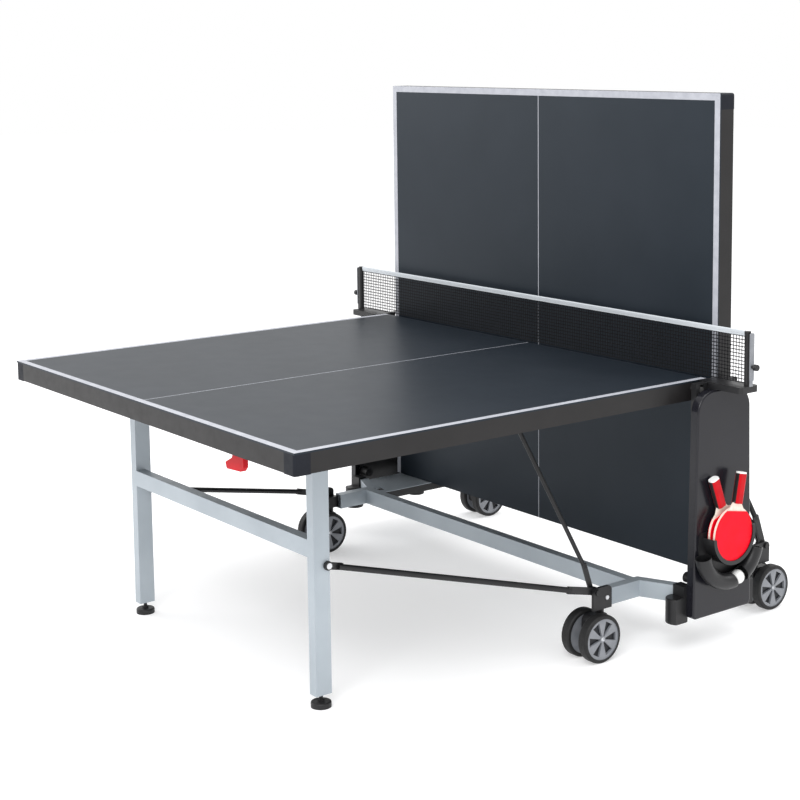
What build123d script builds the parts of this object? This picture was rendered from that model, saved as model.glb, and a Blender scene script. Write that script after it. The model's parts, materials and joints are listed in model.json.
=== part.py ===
from build123d import *
import math
import os

# Folding table tennis table, rollaway frame, one half flat for play and one half folded up.
# Millimetres. +X runs along the net, +Y from the near half to the far half, +Z up.
# Pieces are drawn with the net on y = 0 and moved by Y_SHIFT when they are saved.
# One half is drawn flat and outward along +Y; the near half is that half turned round Z.

Y_SHIFT = 476.0

# Table top
HALF_W = 762.5            # half of the 1525 width
END_OUT = 1370.0          # end line from the net
END_NET = 4.0             # net end of the board from the net
TOP_Z = 760.0             # playing height
BOARD_T = 5.0
LINE_T = 0.3              # depth of the painted lines
LINE_W = 20.0
CENTRE_LINE_W = 3.0
RAIL_W = 25.0             # frame rails under the board
RAIL_H = 50.0
RAIL_Z0 = TOP_Z - BOARD_T - RAIL_H
TUBE_WALL = 1.5
CAP = 45.0                # corner cap size

# Fold geometry of a half, as distance from the net (s) and height (z)
ROLLER_S = 60.0
ROLLER_Z = 740.0
FOLDED_BOTTOM = 186.0
FOLDED_ROLLER_Z = FOLDED_BOTTOM + ROLLER_S - END_NET
TRAVEL = ROLLER_Z - FOLDED_ROLLER_Z
PIVOT_S = 345.0           # common pivot of link and strut at the castor block
PIVOT_Z = 193.0
LEG_HINGE_S = 1095.0
LEG_HINGE_Z = 725.0
LINK_LEG_S = 1102.0       # link rivet on the leg
LINK_LEG_Z = 375.0
STRUT_TOP_S = 518.0
STRUT_TOP_Z = 700.0
STRUT_TOP_X = 524.0
STRUT_SWING = 44.0

# Leg frame
LEG_X = 474.0
LEG_S = 1118.0
LEG_WX = 30.0
LEG_WY = 48.0
LEG_Z0 = 40.0
LEG_Z1 = 745.0
STRETCH_Z0 = 397.0
STRETCH_Z1 = 443.0
FOOT_R = 27.0
FOOT_H = 15.0
SCREW_R = 5.0

# Chassis
TUBE_Z0 = 138.0
TUBE_Z1 = 185.7
TUBE_T = 30.0
CROSS_S = 157.0           # inner face of the cross tubes from the net
ARM_X = 650.0
BLOCK_X = 665.5
BLOCK_S0 = 292.0
BLOCK_S1 = 359.0
BLOCK_Z0 = 142.0
BLOCK_Z1 = 205.0
BOLT_R = 6.0
PANEL_X0 = 803.0
PANEL_X1 = 830.0
PANEL_WALL = 4.0
SLOT_HALF = 8.4
ROLLER_R = 8.0

# Castors
SWIVEL_S = 316.0
AXLE_S = 350.0
WHEEL_R = 68.0
HUB_R = 57.0
WHEEL_T = 30.0
WHEEL_OFF = 34.5
AXLE_R = 6.0

# Net
POST_X = 915.0
NET_TOP = 912.5

# Bats, ball and their holder on the right panel
HOLD_Y = 0.0
BLADE_Z = 333.0
RING_Z = 305.0
RING_R = 108.0
RING_X = 855.0
RING_TUBE_R = 23.0
RING_BORE_R = 21.0
BALL_R = 20.0
BALL_ANGLE = -72.0

os.makedirs("parts", exist_ok=True)


def save(node, solids):
    shape = Compound(children=solids) if isinstance(solids, list) else solids
    export_step(Pos(0, Y_SHIFT, 0) * shape, "parts/" + node + ".step")


def box(x0, x1, y0, y1, z0, z1):
    centre = Pos((x0 + x1) / 2, (y0 + y1) / 2, (z0 + z1) / 2)
    return centre * Box(abs(x1 - x0), abs(y1 - y0), abs(z1 - z0))


def cyl_x(x0, x1, y, z, r):
    return Pos((x0 + x1) / 2, y, z) * Rot(0, 90, 0) * Cylinder(r, abs(x1 - x0))


def cyl_z(x, y, z0, z1, r):
    return Pos(x, y, (z0 + z1) / 2) * Cylinder(r, abs(z1 - z0))


def tube_x(x0, x1, y0, y1, z0, z1, t=TUBE_WALL):
    return box(x0, x1, y0, y1, z0, z1) - box(x0 - 1, x1 + 1, y0 + t, y1 - t, z0 + t, z1 - t)


def tube_y(x0, x1, y0, y1, z0, z1, t=TUBE_WALL):
    return box(x0, x1, y0, y1, z0, z1) - box(x0 + t, x1 - t, y0 - 1, y1 + 1, z0 + t, z1 - t)


def tube_z(x0, x1, y0, y1, z0, z1, t=TUBE_WALL):
    return box(x0, x1, y0, y1, z0, z1) - box(x0 + t, x1 - t, y0 + t, y1 - t, z0 - 1, z1 + 1)


def bar(p, q, r):
    a = Vector(*p)
    b = Vector(*q)
    plane = Plane(origin=a, z_dir=(b - a))
    return extrude(plane * Circle(r), (b - a).length)


def turn_x(shape, y, z, degrees):
    return Pos(0, y, z) * Rot(degrees, 0, 0) * Pos(0, -y, -z) * shape


def mirror_x(shape):
    return mirror(shape, Plane.YZ)


def both_sides(shape):
    return [shape, mirror_x(shape)]


# Folded angles of legs and links follow from the closed chain half, leg, link and castor block.
def fold_point(s, z):
    return (ROLLER_S + ROLLER_Z - z, FOLDED_ROLLER_Z + s - ROLLER_S)


def chain_angles():
    leg_len = math.hypot(LINK_LEG_S - LEG_HINGE_S, LINK_LEG_Z - LEG_HINGE_Z)
    link_len = math.hypot(LINK_LEG_S - PIVOT_S, LINK_LEG_Z - PIVOT_Z)
    hinge = fold_point(LEG_HINGE_S, LEG_HINGE_Z)
    du = hinge[0] - PIVOT_S
    dz = hinge[1] - PIVOT_Z
    gap = math.hypot(du, dz)
    along = (link_len ** 2 - leg_len ** 2 + gap ** 2) / (2 * gap)
    off = math.sqrt(link_len ** 2 - along ** 2)
    end_u = PIVOT_S + along * du / gap - off * dz / gap
    end_z = PIVOT_Z + along * dz / gap + off * du / gap
    link_flat = math.atan2(LINK_LEG_Z - PIVOT_Z, LINK_LEG_S - PIVOT_S)
    link_fold = math.atan2(end_z - PIVOT_Z, end_u - PIVOT_S)
    leg_flat = math.atan2(LINK_LEG_Z - LEG_HINGE_Z, LINK_LEG_S - LEG_HINGE_S)
    leg_fold = math.atan2(end_z - hinge[1], end_u - hinge[0])
    return math.degrees(leg_fold - leg_flat) - 90.0, math.degrees(link_fold - link_flat)


LEG_SWING, LINK_SWING = chain_angles()


def to_near(shape):
    return Rot(0, 0, 180) * shape


def to_far_half(shape):
    dropped = Pos(0, 0, -TRAVEL) * shape
    return turn_x(dropped, ROLLER_S, FOLDED_ROLLER_Z, 90)


def to_far_leg(shape):
    return to_far_half(turn_x(shape, LEG_HINGE_S, LEG_HINGE_Z, LEG_SWING))


def to_far_carriage(shape):
    return Pos(0, 0, -TRAVEL) * shape


def save_pair(name, solids, far_move):
    save("near_" + name, [to_near(s) for s in solids])
    save("far_" + name, [far_move(s) for s in solids])


# Board with its painted lines let into the top
def make_lines():
    z0 = TOP_Z - LINE_T
    sheet = box(-HALF_W, HALF_W, END_NET, END_OUT, z0, TOP_Z)
    left = box(-HALF_W + LINE_W, -CENTRE_LINE_W / 2, END_NET - 1, END_OUT - LINE_W, z0 - 1, TOP_Z + 1)
    right = box(CENTRE_LINE_W / 2, HALF_W - LINE_W, END_NET - 1, END_OUT - LINE_W, z0 - 1, TOP_Z + 1)
    return sheet - left - right


def make_board():
    slab = box(-HALF_W, HALF_W, END_NET, END_OUT, TOP_Z - BOARD_T, TOP_Z)
    return slab - make_lines()


LEVER_X = -465.0
LEVER_S = 1335.0
LEVER_Z = 727.0


def make_frame():
    z0 = RAIL_Z0
    z1 = TOP_Z - BOARD_T
    inner = HALF_W - RAIL_W
    side = tube_y(inner, HALF_W, END_NET + 4, END_OUT - CAP, z0, z1)
    side -= cyl_x(inner - 5, HALF_W + 5, ROLLER_S, ROLLER_Z, BOLT_R + 0.06)
    end = tube_x(-HALF_W + CAP, HALF_W - CAP, END_OUT - RAIL_W, END_OUT, z0, z1)
    net = tube_x(-inner, inner, END_NET + 4, END_NET + 4 + RAIL_W, z0, z1)
    solids = both_sides(side) + [end, net]
    for s in (350.0, 760.0):
        solids.append(tube_x(-inner, inner, s - 15, s + 15, z1 - 28, z1))
    for sx in (-1, 1):
        for off in (-19.5, 15.5):
            x = sx * LEG_X + off
            cheek = box(x, x + 4, LEG_HINGE_S - 18, LEG_HINGE_S + 18, LEG_HINGE_Z - 16, z1)
            solids.append(cheek)
        solids.append(cyl_x(sx * LEG_X - 15.5, sx * LEG_X + 15.5, LEG_HINGE_S, LEG_HINGE_Z, SCREW_R))
        x = sx * (STRUT_TOP_X - 5.5)
        solids.append(box(x - 2, x + 2, STRUT_TOP_S - 18, STRUT_TOP_S + 18, STRUT_TOP_Z - 12, z1))
    for off in (-30.0, 26.0):
        x = LEVER_X + off
        solids.append(box(x, x + 4, LEVER_S - 12, END_OUT - RAIL_W, LEVER_Z - 10, z1))
    return solids


def make_caps():
    z1 = TOP_Z - BOARD_T
    cap = box(HALF_W - CAP, HALF_W, END_OUT - CAP, END_OUT, RAIL_Z0 - 1.5, z1)
    edge = cap.edges().filter_by(Axis.Z).sort_by(SortBy.DISTANCE, reverse=False)
    outer = [e for e in edge if e.center().X > HALF_W - 1 and e.center().Y > END_OUT - 1]
    cap = fillet(outer, 8)
    plug = box(HALF_W - RAIL_W, HALF_W, END_NET, END_NET + 4, RAIL_Z0, z1)
    return both_sides(cap) + both_sides(plug)


def make_rollers():
    pin = cyl_x(HALF_W - RAIL_W - 2, 779, ROLLER_S, ROLLER_Z, BOLT_R)
    roller = cyl_x(779, 799, ROLLER_S, ROLLER_Z, ROLLER_R)
    return both_sides(pin + roller)


def make_legs():
    x0 = LEG_X - LEG_WX / 2
    x1 = LEG_X + LEG_WX / 2
    s0 = LEG_S - LEG_WY / 2
    s1 = LEG_S + LEG_WY / 2
    leg = tube_z(x0, x1, s0, s1, LEG_Z0, LEG_Z1)
    lug = box(x0 + 0.5, x1 - 0.5, LEG_HINGE_S, s0, LEG_HINGE_Z - 12, LEG_HINGE_Z + 12)
    lug += cyl_x(x0 + 0.5, x1 - 0.5, LEG_HINGE_S, LEG_HINGE_Z, 12)
    plug = box(x0, x1, s0, s1, LEG_Z0 - 6, LEG_Z0)
    plug -= cyl_z(LEG_X, LEG_S, 0, LEG_Z0 + 5, SCREW_R + 0.06)
    stretcher = tube_x(-x0, x0, s1 - TUBE_T, s1, STRETCH_Z0, STRETCH_Z1)
    post = leg + lug - cyl_x(x0 - 1, x1 + 1, LEG_HINGE_S, LEG_HINGE_Z, SCREW_R + 0.06)
    return both_sides(post) + both_sides(plug) + [stretcher]


def make_foot():
    disc = cyl_z(LEG_X, LEG_S, 0, FOOT_H, FOOT_R)
    disc = fillet(disc.edges().filter_by(GeomType.CIRCLE).group_by(Axis.Z)[-1], 4)
    nut = extrude(Pos(LEG_X, LEG_S, FOOT_H) * RegularPolygon(9, 6), 6)
    screw = cyl_z(LEG_X, LEG_S, FOOT_H, 78, SCREW_R)
    return disc + nut + screw


def rod(low, high, flat_low, flat_high, r, plate):
    """A round rod in the YZ fold plane whose two ends are flattened round their bolt holes."""
    x0, s0, z0 = low
    x1, s1, z1 = high
    angle = math.atan2(z1 - z0, s1 - s0)
    length = math.hypot(s1 - s0, z1 - z0)
    tilt = math.degrees(angle)

    def at(x, run):
        return (x, s0 + run * math.cos(angle), z0 + run * math.sin(angle))

    body = bar(at(x0, flat_low - 12), at(x1, length - flat_high + 12), r)
    for x, start, end in ((x0, 0, flat_low), (x1, length - flat_high, length)):
        body += Pos(*at(x, (start + end) / 2)) * Rot(tilt, 0, 0) * Box(plate, end - start, 2 * r + 3)
    for x, s, z in (low, high):
        body += cyl_x(x - plate / 2, x + plate / 2, s, z, 12)
    return body


def make_struts():
    low = (BLOCK_X - 5.5, PIVOT_S, PIVOT_Z)
    high = (STRUT_TOP_X, STRUT_TOP_S, STRUT_TOP_Z)
    body = rod(low, high, 84, 30, 6, 6)
    return both_sides(body - cyl_x(low[0] - 9, low[0] + 9, PIVOT_S, PIVOT_Z, BOLT_R + 0.06))


def make_links():
    low = (BLOCK_X + 6.5, PIVOT_S, PIVOT_Z)
    high = (LEG_X + LEG_WX / 2 + 4.3, LINK_LEG_S, LINK_LEG_Z)
    angle = math.atan2(LINK_LEG_Z - PIVOT_Z, LINK_LEG_S - PIVOT_S)
    tilt = math.degrees(angle)
    length = math.hypot(LINK_LEG_S - PIVOT_S, LINK_LEG_Z - PIVOT_Z)

    def at(x, run):
        return (x, PIVOT_S + run * math.cos(angle), PIVOT_Z + run * math.sin(angle))

    body = bar(at(low[0], 88), at(high[0] + 6.5, length - 30), 8)
    body += Pos(*at(low[0], 50)) * Rot(tilt, 0, 0) * Box(8, 100, 20)
    body += Pos(*at(high[0], length - 22)) * Rot(tilt, 0, 0) * Box(8, 44, 18)
    body += cyl_x(low[0] - 4, low[0] + 4, PIVOT_S, PIVOT_Z, 13)
    body += cyl_x(high[0] - 4, high[0] + 4, LINK_LEG_S, LINK_LEG_Z, 12)
    body += cyl_x(high[0] + 4, high[0] + 7, LINK_LEG_S, LINK_LEG_Z, 8)
    return both_sides(body - cyl_x(low[0] - 9, low[0] + 9, PIVOT_S, PIVOT_Z, BOLT_R + 0.06))


def make_lever():
    plane = Plane(origin=(LEVER_X, LEVER_S + 7, 0), x_dir=(1, 0, 0), z_dir=(0, -1, 0))
    outline = ((-24, 700), (24, 700), (30, 684), (62, 668), (56, 652), (-12, 656), (-24, 668))
    grip = extrude(plane * make_face(Polyline(*outline, close=True)), 14)
    grip = fillet(grip.edges().filter_by(Axis.Y), 5)
    stem = box(LEVER_X - 14, LEVER_X + 14, LEVER_S - 5, LEVER_S + 5, 695, LEVER_Z)
    pin = cyl_x(LEVER_X - 25.6, LEVER_X + 25.6, LEVER_S, LEVER_Z, 6)
    return grip + stem + pin


save_pair("board", [make_board()], to_far_half)
save_pair("lines", [make_lines()], to_far_half)
save_pair("frame", make_frame(), to_far_half)
save_pair("corner_caps", make_caps(), to_far_half)
save_pair("rollers", make_rollers(), to_far_carriage)
save_pair("legs", make_legs(), to_far_leg)
save_pair("foot_a", [make_foot()], to_far_leg)
save_pair("foot_b", [mirror_x(make_foot())], to_far_leg)
save_pair("struts", make_struts(), lambda s: turn_x(s, PIVOT_S, PIVOT_Z, STRUT_SWING))
save_pair("links", make_links(), lambda s: turn_x(s, PIVOT_S, PIVOT_Z, LINK_SWING))
save_pair("lever", [make_lever()], to_far_half)


# Side panel, a shallow shell, drawn for the right side
def panel_profile(inset):
    low = 117.0 - inset
    high = 104.0 - inset
    z0 = 100.0 + inset
    z1 = 740.0 - inset
    plane = Plane(origin=(PANEL_X0, 0, 0), x_dir=(0, 1, 0), z_dir=(1, 0, 0))
    face = plane * make_face(Polyline((-low, z0), (low, z0), (high, z1), (-high, z1), close=True))
    corners = face.vertices().sort_by(Axis.Z)
    face = fillet(corners[2:], 62 - inset)
    return fillet(face.vertices().sort_by(Axis.Z)[:2], max(14 - inset, 4))


def make_panel():
    outer = extrude(panel_profile(0), PANEL_X1 - PANEL_X0)
    rim = outer.faces().sort_by(Axis.X)[-1].edges()
    outer = fillet(rim, 5)
    return outer - extrude(panel_profile(PANEL_WALL), PANEL_X1 - PANEL_X0 - PANEL_WALL)


def make_guide():
    z0 = FOLDED_ROLLER_Z - 14
    z1 = ROLLER_Z + 14
    solids = [box(800, PANEL_X0, -96, 96, 150, 676)]
    for sy in (-1, 1):
        for a, b in ((ROLLER_S - 23, ROLLER_S - SLOT_HALF), (ROLLER_S + SLOT_HALF, ROLLER_S + 23)):
            solids.append(box(781, 800, sy * a, sy * b, z0, z1))
        solids.append(box(781, 800, sy * (ROLLER_S - SLOT_HALF), sy * (ROLLER_S + SLOT_HALF), z0, z0 + 5))
        solids.append(box(781, 800, sy * (ROLLER_S - 23), sy * (ROLLER_S + 23), z1, z1 + 4))
    return solids


# Chassis tubes: the arm runs in from the castor block to a mitred weld, then out to the shoe
def arm_path(offset):
    lean = math.atan2(33.0, 77.0)
    x = ARM_X + TUBE_T / 2 - offset
    turn_s = 163.0 - offset * math.tan((math.pi / 2 - lean) / 2)
    end_x = 800.0
    return [(x, BLOCK_S0), (x, turn_s), (end_x, turn_s - (end_x - x) * math.tan(lean))]


def arm_solid(t0, t1, z0, z1, part):
    a = arm_path(t0)[part:part + 2]
    b = arm_path(t1)[part:part + 2]
    return extrude(Pos(0, 0, z0) * make_face(Polyline(*(a + b[::-1]), close=True)), z1 - z0)


SHOE_X = 782.0
SHOE_S = 134.0


def make_arm():
    tubes = []
    for part in (0, 1):
        tube = arm_solid(0, TUBE_T, TUBE_Z0, TUBE_Z1, part)
        tube -= arm_solid(2, TUBE_T - 2, TUBE_Z0 + 2, TUBE_Z1 - 2, part)
        tubes.append(tube)
    tubes[1] -= box(762, 900, 0, 200, 100, 250)
    tubes[1] -= cyl_z(SHOE_X, SHOE_S, 80, 160, 31.3)
    return tubes


def make_shoe(panel):
    pod = cyl_z(SHOE_X, SHOE_S, 88, 160, 31)
    pod = fillet(pod.edges().filter_by(GeomType.CIRCLE), 3)
    pod -= panel
    pod -= box(PANEL_X0, 900, 0, 200, 50, 300)
    block = box(762, PANEL_X0, 97, 128, 160, 192)
    boss = cyl_x(766, 799, 80, 203, 15) - box(762, 803, 97, 128, 150, 192)
    return [pod, block, boss]


def make_block():
    x1 = BLOCK_X + 22
    cheek = box(x1 - 10, x1, BLOCK_S0, BLOCK_S1, BLOCK_Z0, BLOCK_Z1)
    top = cheek.edges().filter_by(Axis.X).group_by(Axis.Z)[-1]
    cheek = fillet(top, 13) - cyl_x(x1 - 11, x1 + 1, PIVOT_S, PIVOT_Z, BOLT_R)
    base = box(x1 - 36, x1 - 10, BLOCK_S0, PIVOT_S - 15, BLOCK_Z0, PIVOT_Z - 15)
    bolt = cyl_x(BLOCK_X - 14, x1, PIVOT_S, PIVOT_Z, BOLT_R)
    bolt += cyl_x(x1, x1 + 5, PIVOT_S, PIVOT_Z, 9)
    bolt += cyl_x(BLOCK_X - 14, BLOCK_X - 9, PIVOT_S, PIVOT_Z, 9)
    rivet = cyl_x(x1, x1 + 3, 311, 173, 6)
    return [base, cheek, bolt, rivet]


def make_fork():
    body = box(BLOCK_X - 14, BLOCK_X + 14, SWIVEL_S - 18, AXLE_S + 22, 48, 128)
    body = fillet(body.edges().filter_by(Axis.X), 17)
    stem = cyl_z(BLOCK_X, SWIVEL_S, 110, BLOCK_Z0 - 0.3, 11)
    return body + stem - cyl_x(BLOCK_X - 20, BLOCK_X + 20, AXLE_S, WHEEL_R, AXLE_R + 0.06)


def make_wheels():
    solids = [cyl_x(BLOCK_X - 46, BLOCK_X + 46, AXLE_S, WHEEL_R, AXLE_R)]
    for side in (-1, 1):
        c = BLOCK_X + side * WHEEL_OFF
        out = c + side * WHEEL_T / 2
        tyre = cyl_x(c - WHEEL_T / 2, c + WHEEL_T / 2, AXLE_S, WHEEL_R, WHEEL_R)
        tyre = fillet(tyre.edges().filter_by(GeomType.CIRCLE), 6)
        tyre -= cyl_x(c - WHEEL_T, c + WHEEL_T, AXLE_S, WHEEL_R, HUB_R)
        hub = cyl_x(c - WHEEL_T / 2 + 2, c + WHEEL_T / 2 - 2, AXLE_S, WHEEL_R, HUB_R)
        hub -= cyl_x(c - WHEEL_T, c + WHEEL_T, AXLE_S, WHEEL_R, AXLE_R)
        face = out - side * 2
        for k in range(6):
            window = wedge(face, side, 60.0 * k)
            hub -= window
        ring = cyl_x(face, face + side * 1.5, AXLE_S, WHEEL_R, 8.5) - cyl_x(
            face - 5, face + 5, AXLE_S, WHEEL_R, AXLE_R)
        solids += [tyre, hub + ring]
    return solids


def wedge(face, side, turn):
    plane = Plane(origin=(face, AXLE_S, WHEEL_R), x_dir=(0, 1, 0), z_dir=(-side, 0, 0))
    points = []
    for r, a in ((10, -13), (50, -15), (50, 15), (10, 13)):
        angle = math.radians(a + turn)
        points.append((r * math.cos(angle), r * math.sin(angle)))
    return extrude(plane * make_face(Polyline(*points, close=True)), 7)


def four(shape):
    right = [shape, mirror(shape, Plane.XZ)]
    return {"near_right": right[1], "far_right": right[0],
            "near_left": mirror_x(right[1]), "far_left": mirror_x(right[0])}


panel = make_panel()
panel_body = extrude(panel_profile(0), PANEL_X1 - PANEL_X0)
save("panel_right", panel)
save("panel_left", mirror_x(panel))
save("guide_right", make_guide())
save("guide_left", [mirror_x(s) for s in make_guide()])

arm_tubes = [four(tube) for tube in make_arm()]
for name in arm_tubes[0]:
    save("arm_" + name, [tube[name] for tube in arm_tubes])

for side, flip in (("right", lambda s: s), ("left", mirror_x)):
    blocks = []
    shoes = []
    for sy in (1, -1):
        for s in make_block():
            blocks.append(flip(s if sy > 0 else mirror(s, Plane.XZ)))
        for s in make_shoe(panel_body):
            shoes.append(flip(s if sy > 0 else mirror(s, Plane.XZ)))
    save("castor_blocks_" + side, blocks)
    save("shoes_" + side, shoes)

cross = tube_x(-ARM_X + TUBE_T / 2, ARM_X - TUBE_T / 2, CROSS_S, CROSS_S + TUBE_T, TUBE_Z0, TUBE_Z1)
save("cross_tube_far", cross)
save("cross_tube_near", mirror(cross, Plane.XZ))

for name, fork in four(make_fork()).items():
    save("castor_fork_" + name, fork)

wheel_sets = make_wheels()
for index, name in enumerate(("near_right", "far_right", "near_left", "far_left")):
    save("castor_wheels_" + name, [list(four(s).values())[
        ("near_right", "far_right", "near_left", "far_left").index(name)] for s in wheel_sets])

# Shelf plate between the cross tubes, on the left only
plate_side = []
for x, y in ((575, CROSS_S), (634.6, CROSS_S), (634.6, 142.6), (748, 94.0)):
    plate_side.append((-x, y))
outline = plate_side + [(x, -y) for x, y in plate_side[::-1]]
plate = extrude(Pos(0, 0, 182) * make_face(Polyline(*outline, close=True)), 2)
plate = fillet(plate.edges().filter_by(Axis.Z).group_by(Axis.X)[0], 20)
plate -= box(-632, -606, -152, -126, 180, 186)
save("shelf_plate", plate)
edge = box(-579, -575, -CROSS_S, CROSS_S, 158, 182)
save("shelf_edge", edge)

# Net arms, posts and tension knobs
def make_net_arm():
    arm = box(765, 921, -36, 36, 742, TOP_Z)
    arm = fillet(arm.edges().filter_by(Axis.Z).group_by(Axis.X)[-1], 10)
    foot = box(PANEL_X0, PANEL_X1, -36, 36, 740, 742)
    return arm + foot


def make_post():
    post = cyl_z(POST_X - 4, 0, TOP_Z, NET_TOP - 1, 9)
    post += box(POST_X + 2, POST_X + 10, -7, 7, TOP_Z, 905)
    return post


def make_rod():
    rod = box(POST_X + 10, POST_X + 13, -8, 8, 775, 908)
    return fillet(rod.edges().filter_by(Axis.X), 5)


def make_knob():
    shaft = cyl_x(POST_X + 13.3, POST_X + 22, 0, 815, 5)
    grip = cyl_x(POST_X + 20, POST_X + 34, 0, 815, 9)
    grip = fillet(grip.edges().filter_by(GeomType.CIRCLE), 3)
    return shaft + grip


for side, flip in (("right", lambda s: s), ("left", mirror_x)):
    save("net_arm_" + side, flip(make_net_arm()))
    save("net_post_" + side, [flip(make_post()), flip(make_rod())])
    save("net_knob_" + side, flip(make_knob()))

net_end = POST_X - 4 - 9
save("net_mesh", box(-net_end, net_end, -0.75, 0.75, 766, NET_TOP - 15))
save("net_tape", box(-net_end, net_end, -3, 3, NET_TOP - 15, NET_TOP))


# Bat holder and ball tube on the right panel
def disc_x(x0, x1, y, z, r):
    return cyl_x(x0, x1, y, z, r)


def make_holder():
    back = disc_x(PANEL_X1, PANEL_X1 + 2, HOLD_Y, RING_Z, RING_R - 6)
    back -= box(PANEL_X1 - 1, PANEL_X1 + 5, -200, 200, 345, 500)
    wall = disc_x(PANEL_X1 + 2, 875, HOLD_Y, BLADE_Z, 84.5) - disc_x(PANEL_X1 + 1, 880, HOLD_Y, BLADE_Z, 81)
    lip = disc_x(872, 875, HOLD_Y, BLADE_Z, 84.5) - disc_x(870, 880, HOLD_Y, BLADE_Z, 73)
    upper = box(PANEL_X1, 900, -200, 0, 332, 500) + box(PANEL_X1, 900, 0, 200, 350, 500)
    return back + ((wall + lip) - upper)


def make_ball_tube():
    path = Plane(origin=(RING_X, HOLD_Y, RING_Z), x_dir=(0, 1, 0), z_dir=(1, 0, 0))
    arc = path * CenterArc((0, 0), RING_R, -168, 153)
    start = arc @ 0
    along = arc % 0
    end_plane = Plane(origin=start, z_dir=along)
    tube = sweep(end_plane * Circle(RING_TUBE_R), path=arc)
    bore = sweep(end_plane * Circle(RING_BORE_R), path=arc)
    tube -= bore
    a = math.radians(BALL_ANGLE)
    cy = HOLD_Y + RING_R * math.cos(a)
    cz = RING_Z + RING_R * math.sin(a)
    window = Pos(RING_X + 15, cy, cz) * Rot(BALL_ANGLE, 0, 0) * Box(50, 60, 43)
    window -= box(RING_X - 60, RING_X - 6, cy - 60, cy + 60, cz - 60, cz + 60)
    return tube - window


def make_ball():
    a = math.radians(BALL_ANGLE)
    return Pos(RING_X, HOLD_Y + RING_R * math.cos(a), RING_Z + RING_R * math.sin(a)) * Sphere(BALL_R)


def make_bat(x, tilt):
    plane = Plane(origin=(x - 3, HOLD_Y, BLADE_Z), x_dir=(0, 1, 0), z_dir=(1, 0, 0))
    blade = extrude(plane * Ellipse(75, 79), 6)
    neck_face = plane * make_face(Polyline((-32, 66), (32, 66), (13.5, 92), (-13.5, 92), close=True))
    neck = extrude(neck_face, 6)
    rubber_plane = Plane(origin=(x - 6, HOLD_Y, BLADE_Z), x_dir=(0, 1, 0), z_dir=(1, 0, 0))
    rubber = extrude(rubber_plane * Ellipse(73.5, 77.5), 12)
    rubber -= extrude(plane * Ellipse(75, 79), 6)
    rubber -= box(x - 20, x + 20, -90, 90, BLADE_Z + 66, BLADE_Z + 90)
    grip = Pos(x, HOLD_Y, BLADE_Z + 130) * Box(23, 30, 84)
    grip = fillet(grip.edges().filter_by(Axis.Z), 8)
    cap = Pos(x, HOLD_Y, BLADE_Z + 174) * Box(22, 29, 4)
    cap = fillet(cap.edges().filter_by(Axis.Z), 8)
    wood = blade + neck
    return [turn_x(s, HOLD_Y, BLADE_Z, -tilt) for s in [wood] + rubber.solids() + [grip, cap]]


save("bat_holder", make_holder())
save("ball_tube", make_ball_tube())
save("ball", make_ball())
save("bat_front", make_bat(865, 11))
save("bat_rear", make_bat(847, -20))
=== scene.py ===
import json
import math

import bmesh
import bpy
from mathutils import Matrix, Vector


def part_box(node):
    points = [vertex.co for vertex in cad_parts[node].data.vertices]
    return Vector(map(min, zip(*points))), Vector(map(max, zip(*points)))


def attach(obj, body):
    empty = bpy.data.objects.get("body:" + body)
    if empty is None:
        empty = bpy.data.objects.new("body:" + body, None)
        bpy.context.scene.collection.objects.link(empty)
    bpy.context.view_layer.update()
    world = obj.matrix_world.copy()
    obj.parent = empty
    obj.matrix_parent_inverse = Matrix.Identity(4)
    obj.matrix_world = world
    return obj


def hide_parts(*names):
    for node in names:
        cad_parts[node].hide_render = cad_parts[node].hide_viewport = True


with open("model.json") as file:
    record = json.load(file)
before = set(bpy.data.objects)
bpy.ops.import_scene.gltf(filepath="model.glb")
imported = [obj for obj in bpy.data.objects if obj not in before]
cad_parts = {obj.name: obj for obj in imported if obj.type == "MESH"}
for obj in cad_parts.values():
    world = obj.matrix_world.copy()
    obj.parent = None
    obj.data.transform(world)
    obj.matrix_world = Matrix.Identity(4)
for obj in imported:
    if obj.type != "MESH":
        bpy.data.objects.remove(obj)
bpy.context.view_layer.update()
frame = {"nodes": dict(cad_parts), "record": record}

NODES = frame["nodes"]
Y_NET = 0.476          # the net's plane in the row frame


# ---------------------------------------------------------------- materials
def new_material(name):
    mat = bpy.data.materials.new(name)
    mat.use_nodes = True
    tree = mat.node_tree
    tree.nodes.clear()
    out = tree.nodes.new("ShaderNodeOutputMaterial")
    bsdf = tree.nodes.new("ShaderNodeBsdfPrincipled")
    tree.links.new(bsdf.outputs["BSDF"], out.inputs["Surface"])
    return mat, tree, bsdf


def coords(tree, stretch=(1, 1, 1)):
    tex = tree.nodes.new("ShaderNodeTexCoord")
    mapping = tree.nodes.new("ShaderNodeMapping")
    mapping.inputs["Scale"].default_value = stretch
    tree.links.new(tex.outputs["Object"], mapping.inputs["Vector"])
    return mapping.outputs["Vector"]


def noise(tree, vector, scale, detail=3.0, rough=0.5):
    node = tree.nodes.new("ShaderNodeTexNoise")
    node.inputs["Scale"].default_value = scale
    node.inputs["Detail"].default_value = detail
    node.inputs["Roughness"].default_value = rough
    tree.links.new(vector, node.inputs["Vector"])
    return node.outputs["Fac"]


def remap(tree, value, low, high, start=0.3, stop=0.7):
    node = tree.nodes.new("ShaderNodeMapRange")
    node.inputs["From Min"].default_value = start
    node.inputs["From Max"].default_value = stop
    node.inputs["To Min"].default_value = low
    node.inputs["To Max"].default_value = high
    tree.links.new(value, node.inputs["Value"])
    return node.outputs["Result"]


def blend_colour(tree, fac, a, b):
    node = tree.nodes.new("ShaderNodeMix")
    node.data_type = "RGBA"
    node.inputs["A"].default_value = (*a, 1)
    node.inputs["B"].default_value = (*b, 1)
    tree.links.new(fac, node.inputs["Factor"])
    return node.outputs["Result"]


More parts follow.
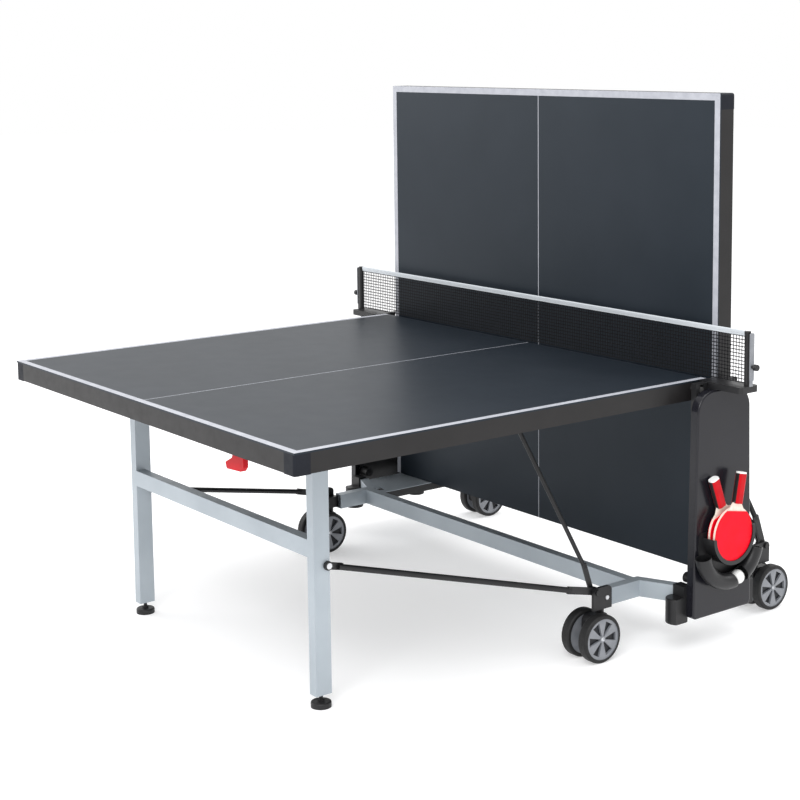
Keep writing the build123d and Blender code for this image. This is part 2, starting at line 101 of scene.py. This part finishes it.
def bump(tree, bsdf, height, strength, distance):
    node = tree.nodes.new("ShaderNodeBump")
    node.inputs["Strength"].default_value = strength
    node.inputs["Distance"].default_value = distance
    tree.links.new(height, node.inputs["Height"])
    tree.links.new(node.outputs["Normal"], bsdf.inputs["Normal"])
    return node


def surface(name, dark, light, rough=(0.4, 0.5), grain=900.0, depth=0.00004, strength=0.25,
            patch=6.0, metallic=0.0, coat=0.0, coat_rough=0.1, specular=0.5, tint=(1, 1, 1)):
    """Two close tones in soft patches, uneven gloss and a fine moulded or powder-coat grain."""
    mat, tree, bsdf = new_material(name)
    vector = coords(tree)
    tone = remap(tree, noise(tree, vector, patch, 4.0), 0.0, 1.0)
    tree.links.new(blend_colour(tree, tone, dark, light), bsdf.inputs["Base Color"])
    gloss = remap(tree, noise(tree, vector, patch * 3.1, 5.0, 0.6), rough[0], rough[1])
    tree.links.new(gloss, bsdf.inputs["Roughness"])
    bump(tree, bsdf, noise(tree, vector, grain, 2.0), strength, depth)
    bsdf.inputs["Metallic"].default_value = metallic
    bsdf.inputs["Coat Weight"].default_value = coat
    bsdf.inputs["Coat Roughness"].default_value = coat_rough
    bsdf.inputs["Specular IOR Level"].default_value = specular
    bsdf.inputs["Specular Tint"].default_value = (*tint, 1)
    mat.diffuse_color = (*light, 1)
    return mat


M = {}
M["tabletop"] = surface("tabletop", (0.0090, 0.0130, 0.0185), (0.0120, 0.0165, 0.0230), (0.385, 0.405),
                        grain=700, depth=0.00003, strength=0.3, patch=5.0, specular=0.24,
                        tint=(0.80, 0.90, 1.0))
M["line_paint"] = surface("line_paint", (0.33, 0.34, 0.38), (0.40, 0.41, 0.45), (0.40, 0.55),
                          grain=500, depth=0.00003, patch=40)
M["frame_paint"] = surface("frame_paint", (0.0100, 0.0092, 0.0094), (0.0140, 0.0130, 0.0132), (0.34, 0.46),
                           grain=650, depth=0.00005, strength=0.35, patch=9, specular=0.28)
M["cap_plastic"] = surface("cap_plastic", (0.0055, 0.0068, 0.0110), (0.0080, 0.0096, 0.0150), (0.45, 0.6),
                           grain=1200, depth=0.00005, strength=0.4, patch=20, specular=0.18)
M["roller_plastic"] = surface("roller_plastic", (0.05, 0.05, 0.05), (0.07, 0.07, 0.07), (0.4, 0.5),
                              patch=30)
M["silver_tube"] = surface("silver_tube", (0.345, 0.388, 0.425), (0.39, 0.435, 0.472), (0.34, 0.46),
                           grain=800, depth=0.00006, strength=0.45, patch=7, metallic=0.25,
                           coat=0.15, coat_rough=0.35, specular=0.4)
M["foot_plastic"] = surface("foot_plastic", (0.010, 0.010, 0.011), (0.016, 0.016, 0.017), (0.4, 0.55),
                            patch=30, specular=0.35)
M["zinc"] = surface("zinc", (0.55, 0.56, 0.58), (0.68, 0.69, 0.71), (0.25, 0.4), grain=900,
                    patch=60, metallic=0.9)
M["black_steel"] = surface("black_steel", (0.008, 0.008, 0.009), (0.013, 0.013, 0.014), (0.3, 0.42),
                           grain=700, depth=0.00005, strength=0.4, patch=15, specular=0.35)
M["red_plastic"] = surface("red_plastic", (0.40, 0.001, 0.006), (0.52, 0.002, 0.008), (0.28, 0.38),
                           grain=600, depth=0.00003, patch=30, specular=0.14)
M["panel_gloss"] = surface("panel_gloss", (0.0075, 0.0075, 0.0105), (0.0110, 0.0110, 0.0150), (0.18, 0.24),
                           grain=260, depth=0.00002, strength=0.12, patch=5, specular=0.33)
M["black_plastic"] = surface("black_plastic", (0.009, 0.009, 0.010), (0.014, 0.014, 0.015), (0.32, 0.45),
                             grain=900, depth=0.00005, strength=0.4, patch=14, specular=0.35)
M["fork_plastic"] = surface("fork_plastic", (0.009, 0.009, 0.010), (0.016, 0.016, 0.017), (0.35, 0.5),
                            grain=800, depth=0.00005, strength=0.4, patch=30, specular=0.35)
M["wheel_tyre"] = surface("wheel_tyre", (0.007, 0.007, 0.0075), (0.012, 0.012, 0.0125), (0.5, 0.68),
                          grain=500, depth=0.00008, strength=0.5, patch=40, specular=0.35)
M["hub_grey"] = surface("hub_grey", (0.17, 0.18, 0.20), (0.22, 0.23, 0.25), (0.3, 0.42),
                        grain=600, depth=0.00004, patch=40, coat=0.15)
# Painted shade: near-black for the floors of the castor hubs' windows
M["hub_window_shade"] = surface("hub_window_shade", (0.010, 0.011, 0.014), (0.016, 0.018, 0.022), (0.35, 0.5), patch=40,
                        specular=0.3)
M["net_mesh"] = surface("net_mesh", (0.006, 0.006, 0.007), (0.011, 0.011, 0.013), (0.7, 0.85),
                        grain=2500, depth=0.0001, strength=0.6, patch=60, specular=0.2)
M["ball_white"] = surface("ball_white", (0.80, 0.80, 0.79), (0.86, 0.86, 0.85), (0.35, 0.45),
                          grain=1500, depth=0.00003, patch=80)
M["bat_rubber"] = surface("bat_rubber", (0.72, 0.0015, 0.012), (0.90, 0.0030, 0.020), (0.42, 0.55),
                          grain=1400, depth=0.00005, strength=0.5, patch=25, specular=0.12)
M["bat_black"] = surface("bat_black", (0.010, 0.010, 0.010), (0.016, 0.016, 0.016), (0.5, 0.6), patch=25,
                         specular=0.3)


def tape_material():
    mat, tree, bsdf = new_material("net_tape")
    vector = coords(tree)
    weave = tree.nodes.new("ShaderNodeTexWave")
    weave.wave_type = "BANDS"
    weave.bands_direction = "DIAGONAL"
    weave.inputs["Scale"].default_value = 420
    weave.inputs["Distortion"].default_value = 0.6
    tree.links.new(vector, weave.inputs["Vector"])
    tree.links.new(blend_colour(tree, weave.outputs["Fac"], (0.42, 0.45, 0.48), (0.54, 0.57, 0.60)),
                   bsdf.inputs["Base Color"])
    tree.links.new(remap(tree, noise(tree, vector, 60), 0.7, 0.85), bsdf.inputs["Roughness"])
    bump(tree, bsdf, weave.outputs["Fac"], 0.5, 0.0002)
    bsdf.inputs["Sheen Weight"].default_value = 0.1
    return mat


def wood_material():
    mat, tree, bsdf = new_material("bat_wood")
    vector = coords(tree, (60, 60, 4))
    grain = noise(tree, vector, 6.0, 6.0, 0.6)
    tree.links.new(blend_colour(tree, remap(tree, grain, 0, 1), (0.74, 0.62, 0.52), (0.86, 0.77, 0.69)),
                   bsdf.inputs["Base Color"])
    tree.links.new(remap(tree, grain, 0.35, 0.5), bsdf.inputs["Roughness"])
    bump(tree, bsdf, grain, 0.2, 0.0001)
    return mat


M["net_tape"] = tape_material()
M["bat_wood"] = wood_material()


def paint(node, name):
    data = NODES[node].data
    data.materials.clear()
    data.materials.append(M[name])


def paint_parts(node, names, pick):
    """Several finishes on one CAD node, chosen for each connected solid or face by pick(face)."""
    data = NODES[node].data
    data.materials.clear()
    for name in names:
        data.materials.append(M[name])
    for poly in data.polygons:
        poly.material_index = names.index(pick(poly))


def smooth(node, angle=35.0):
    """Smooth shading across the shallow facets, with the hard edges kept."""
    obj = NODES[node]
    for poly in obj.data.polygons:
        poly.use_smooth = True
    obj.data.set_sharp_from_angle(angle=math.radians(angle))


SLOT_OF = {s["node"]: s["material_slot"] for s in frame["record"]["subparts"]}
for name in NODES:
    paint(name, SLOT_OF[name])
    smooth(name)

# Castor wheels: rubber tyre round a grey moulded hub with six windows whose floors are painted near-black
# as shade, and a bare axle end
HUB_R = 0.0572
AXLE_R = 0.0062
WINDOW_FLOOR = (0.0395, 0.0415)      # distance of the window floors from the middle of the castor
for corner in ("near_right", "near_left", "far_right", "far_left"):
    node = "castor_wheels_" + corner
    low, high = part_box(node)
    centre = (low + high) / 2

    def wheel_finish(poly, centre=centre):
        r = math.hypot(poly.center.y - centre.y, poly.center.z - centre.z)
        side = abs(poly.center.x - centre.x)
        if r > HUB_R:
            return "wheel_tyre"
        if r < AXLE_R:
            return "zinc"
        # The window floors get the painted shade in place of the hub's grey
        if WINDOW_FLOOR[0] < side < WINDOW_FLOOR[1] and abs(poly.normal.x) > 0.8:
            return "hub_window_shade"
        return "hub_grey"

    paint_parts(node, ["wheel_tyre", "hub_grey", "hub_window_shade", "zinc"], wheel_finish)

# Bats: red rubber, bare wood edge and throat, red grip with its two narrow side faces black, and a pale
# end
BLADE_Z = 0.333
END_CAP = 0.1715          # distances along the bat from the middle of its blade
GRIP = 0.0925
GRIP_START = 0.0875
WOOD_HALF = 0.0031        # half the blade's thickness
for bat, tilt in (("bat_front", 11), ("bat_rear", -20)):
    low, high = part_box(bat)
    mid_x = (low.x + high.x) / 2
    up = Vector((0, math.sin(math.radians(tilt)), math.cos(math.radians(tilt))))
    across = Vector((0, up.z, -up.y))

    def bat_finish(poly, mid_x=mid_x, up=up, across=across):
        along = (poly.center - Vector((mid_x, Y_NET, BLADE_Z))).dot(up)
        off = abs(poly.center.x - mid_x)
        if along > END_CAP:
            return "ball_white"
        if along > GRIP or (along > GRIP_START and off > WOOD_HALF + 0.0001):
            return "bat_black" if abs(poly.normal.dot(across)) > 0.9 else "red_plastic"
        if off > WOOD_HALF:
            return "bat_rubber"
        return "bat_wood"

    paint_parts(bat, ["bat_rubber", "bat_wood", "red_plastic", "ball_white", "bat_black"], bat_finish)


def paint_heads(node, main, x_face, spots, radius):
    """Rivet heads proud of x_face, within radius of the given (y, z) spots, are bare metal."""
    def pick(poly):
        proud = abs(poly.center.x) > x_face
        near = any(math.hypot(poly.center.y - y, poly.center.z - z) < radius for y, z in spots)
        return "zinc" if proud and near else main

    paint_parts(node, [main, "zinc"], pick)


# Rivets of the links at the legs, and of the castor blocks, each given as net y and z
paint_heads("near_links", "black_steel", 0.4976, [(Y_NET - 1.102, 0.375)], 0.0085)
paint_heads("far_links", "black_steel", 0.4976, [(Y_NET + 0.0857, 0.9271)], 0.0085)
for side in ("right", "left"):
    block = "castor_blocks_" + side
    spots = [(Y_NET + sy * 0.311, 0.173) for sy in (-1, 1)]
    paint_heads(block, SLOT_OF[block], 0.6878, spots, 0.0064)

# The shelf plate's edge strip is black
paint("shelf_edge", "black_steel")

# Tension rods on the net posts are grey metal
for side in ("right", "left"):
    post = "net_post_" + side

    def post_finish(poly, main=SLOT_OF[post]):
        return "hub_grey" if abs(poly.center.x) > 0.9249 else main

    paint_parts(post, [SLOT_OF[post], "hub_grey"], post_finish)


# ---------------------------------------------------------------- net
def link(obj):
    bpy.context.scene.collection.objects.link(obj)
    return obj


def mesh_object(name, bm, material):
    data = bpy.data.meshes.new(name)
    bm.to_mesh(data)
    bm.free()
    data.materials.append(material)
    return link(bpy.data.objects.new(name, data))


def close_tube(bm, rings):
    """Skin a row of equal rings of vertices and cap both ends."""
    for a, b in zip(rings, rings[1:]):
        for k in range(len(a)):
            n = (k + 1) % len(a)
            bm.faces.new((a[k], a[n], b[n], b[k]))
    bm.faces.new(rings[0][::-1])
    bm.faces.new(rings[-1])


low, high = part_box("net_mesh")
PITCH = 0.0104
STRAND = 0.0026
THICK = 0.00036
WEAVE = 0.00030        # how far a strand passes to either side of the net's middle plane


def woven_strand(bm, across, start, stop, crossings, phase, upright):
    """A flat strand that goes over and under the strands it crosses."""
    rings = []
    points = [start] + [c + d for c in crossings for d in (-STRAND / 2, STRAND / 2)] + [stop]
    for i, t in enumerate(points):
        turn = (i - 1) // 2 if 0 < i < len(points) - 1 else (0 if i == 0 else len(crossings) - 1)
        y = Y_NET + (WEAVE if (turn + phase) % 2 else -WEAVE)
        ring = []
        for da, dy in ((-STRAND / 2, -THICK / 2), (STRAND / 2, -THICK / 2), (STRAND / 2, THICK / 2),
                       (-STRAND / 2, THICK / 2)):
            place = (across + da, y + dy, t) if upright else (t, y + dy, across + da)
            ring.append(bm.verts.new(place))
        rings.append(ring)
    close_tube(bm, rings)


bm = bmesh.new()
count = round((high.x - low.x) / PITCH)
rows = round((high.z - low.z) / PITCH)
step_x = (high.x - low.x - STRAND) / count
step_z = (high.z - low.z - STRAND) / rows
uprights = [low.x + STRAND / 2 + i * step_x for i in range(count + 1)]
levels = [low.z + STRAND / 2 + i * step_z for i in range(rows + 1)]
for i, x in enumerate(uprights):
    woven_strand(bm, x, low.z, high.z, levels[1:-1], i, True)
for i, z in enumerate(levels):
    woven_strand(bm, z, low.x, high.x, uprights[1:-1], i, False)
bmesh.ops.recalc_face_normals(bm, faces=bm.faces)
strands = mesh_object("net_strands", bm, M["net_mesh"])
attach(strands, "chassis")
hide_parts("net_mesh")

# Top tape: a woven band folded over the net's cord, pinched where it is sewn to the net
low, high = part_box("net_tape")
TAPE_T = 0.0005
PINCH = 0.0011
BULGE = 0.0026


def sway(x):
    """The band's slight unevenness along the net, to one side or the other."""
    return 0.00022 * math.sin(x * 37.0) + 0.00016 * math.sin(x * 91.0 + 1.3)


def tape_profile(t):
    """Points of one skin of the folded band, t inside the outer skin, from one hem to the other."""
    top = high.z - t
    radius = BULGE - t
    side = [(PINCH - t, low.z), (PINCH - t, low.z + 0.0020), (BULGE - 0.0006 - t, low.z + 0.0060),
            (radius, top - radius - 0.0012)]
    arc = [(radius * math.cos(a), top - radius + radius * math.sin(a))
           for a in (math.radians(15 * k) for k in range(0, 7))]
    half = side + arc
    return half + [(-y, z) for y, z in half[-2::-1]]


outer = tape_profile(0.0)
inner = tape_profile(TAPE_T)
loop = outer + inner[::-1]
bm = bmesh.new()
SEGMENTS = 260
rings = []
for i in range(SEGMENTS + 1):
    x = low.x + (high.x - low.x) * i / SEGMENTS
    rings.append([bm.verts.new((x, Y_NET + y + sway(x), z)) for y, z in loop])
for a, b in zip(rings, rings[1:]):
    for k in range(len(loop)):
        n = (k + 1) % len(loop)
        bm.faces.new((a[k], a[n], b[n], b[k]))
for ring in (rings[0], rings[-1]):
    for k in range(len(outer) - 1):
        bm.faces.new((ring[k], ring[k + 1], ring[len(loop) - 2 - k], ring[len(loop) - 1 - k]))
bmesh.ops.recalc_face_normals(bm, faces=bm.faces)
tape = mesh_object("net_top_tape", bm, M["net_tape"])
for poly in tape.data.polygons:
    poly.use_smooth = True
tape.data.set_sharp_from_angle(angle=math.radians(50))

# Thread that sews the tape to the net, one short stitch after another on both faces
bm = bmesh.new()
STITCH = 0.0042
GAP = 0.0022
THREAD = 0.00028
stitch_z = low.z + 0.0010
total = int((high.x - low.x - 0.004) / (STITCH + GAP))
for side in (-1, 1):
    for i in range(total):
        x = low.x + 0.002 + i * (STITCH + GAP)
        y = Y_NET + side * (PINCH + THREAD * 0.4) + sway(x)
        rings = []
        for t, scale in ((0, 0.35), (0.18, 1.0), (0.82, 1.0), (1, 0.35)):
            ring = []
            for k in range(6):
                a = math.tau * k / 6
                ring.append(bm.verts.new((x + STITCH * t, y + THREAD * scale * math.cos(a),
                                          stitch_z + THREAD * scale * math.sin(a))))
            rings.append(ring)
        close_tube(bm, rings)
bmesh.ops.recalc_face_normals(bm, faces=bm.faces)
stitches = mesh_object("net_tape_stitches", bm, M["net_tape"])

for piece in (tape, stitches):
    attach(piece, "chassis")
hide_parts("net_tape")


# ---------------------------------------------------------------- floor, light and camera
def floor_material():
    """Pale matt floor, with a little glow of its own so that it meets the backdrop."""
    mat, tree, bsdf = new_material("floor")
    vector = coords(tree)
    tone = remap(tree, noise(tree, vector, 0.8), 0.0, 1.0)
    tree.links.new(blend_colour(tree, tone, (0.70, 0.70, 0.705), (0.69, 0.69, 0.695)),
                   bsdf.inputs["Base Color"])
    bsdf.inputs["Roughness"].default_value = 0.95
    bsdf.inputs["Specular IOR Level"].default_value = 0.0
    bsdf.inputs["Emission Color"].default_value = (1, 1, 1, 1)
    bsdf.inputs["Emission Strength"].default_value = 0.42
    return mat


FLOOR_RADIUS = 30.0
FLOOR_DROP = 0.0002       # keeps the floor just clear of the feet and tyres
bm = bmesh.new()
bmesh.ops.create_circle(bm, cap_ends=True, segments=96, radius=FLOOR_RADIUS)
floor = mesh_object("floor", bm, floor_material())
floor.location.z = -FLOOR_DROP

world = bpy.data.worlds.new("studio")
bpy.context.scene.world = world
world.use_nodes = True
background = world.node_tree.nodes["Background"]
background.inputs["Color"].default_value = (1.0, 1.0, 1.0, 1)
background.inputs["Strength"].default_value = 1.0


def area_light(name, place, target, size, energy):
    data = bpy.data.lights.new(name, "AREA")
    data.shape = "RECTANGLE"
    data.size, data.size_y = size
    data.energy = energy
    obj = link(bpy.data.objects.new(name, data))
    obj.location = place
    obj.rotation_euler = (Vector(target) - Vector(place)).to_track_quat("-Z", "Y").to_euler()


AIM = (0, 0.1, 0.7)
area_light("key", (3.2, -3.4, 4.2), AIM, (3.0, 3.0), 190)
area_light("fill", (-4.5, -2.2, 3.0), AIM, (3.5, 3.0), 90)
area_light("top", (0.2, 0.6, 5.2), AIM, (4.0, 4.0), 120)
area_light("back", (0.5, 5.0, 3.0), AIM, (4.0, 2.0), 60)

bpy.context.scene.view_settings.view_transform = "Standard"

AZ, EL, ROLL = math.radians(51.575), math.radians(7.191), math.radians(-0.418)
EYE = Vector((3.971195, -3.424845 + Y_NET, 1.683512))
SENSOR, FRAME_PX = 36.0, 800.0
FOCAL_PX, CX, CY = 1687.527, 460.0, 260.0      # focal length and optical centre in frame pixels
cam_data = bpy.data.cameras.new("camera")
camera = link(bpy.data.objects.new("camera", cam_data))
cam_data.sensor_width = SENSOR
cam_data.lens = SENSOR * FOCAL_PX / FRAME_PX
cam_data.shift_x = (FRAME_PX / 2 - CX) / FRAME_PX
cam_data.shift_y = (CY - FRAME_PX / 2) / FRAME_PX
back = Vector((math.sin(AZ) * math.cos(EL), -math.cos(AZ) * math.cos(EL), math.sin(EL)))
camera.rotation_mode = "QUATERNION"
level = (-back).to_track_quat("-Z", "Y")
camera.rotation_quaternion = level @ Matrix.Rotation(ROLL, 3, "Z").to_quaternion()
camera.location = EYE
cam_data.clip_start = 0.05
cam_data.clip_end = 200.0
bpy.context.scene.camera = camera
